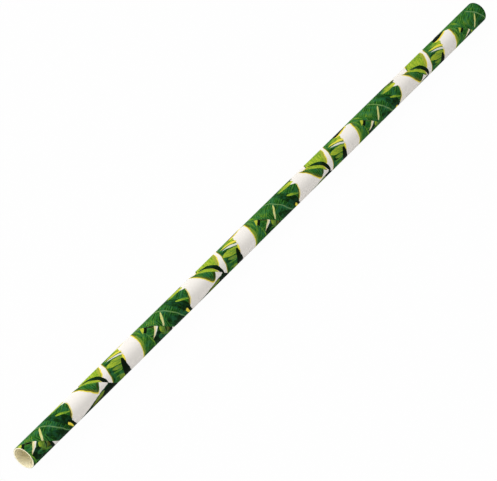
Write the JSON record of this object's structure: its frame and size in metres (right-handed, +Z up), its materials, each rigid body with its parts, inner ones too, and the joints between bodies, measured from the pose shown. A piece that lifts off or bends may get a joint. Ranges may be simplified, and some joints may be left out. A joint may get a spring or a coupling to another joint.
{
  "type": "paper drinking straw",
  "caption": "Straight paper drinking straw, spirally wound and cut square at both ends, with a tropical leaf print, lying on its side.",
  "frame": {"origin": "on the floor under the middle of the straw, which lies on its side on its narrow flat", "axes": "+X along the straw, from the open end nearest in the picture to the far end; +Z up"},
  "size_m": [0.197, 0.006, 0.006],
  "materials": {
    "printed_paper": "uncoated paper, tropical leaf print in greens and yellow on white"
  },
  "bodies": {
    "root": {"straw": "printed_paper"}
  },
  "joints": []
}
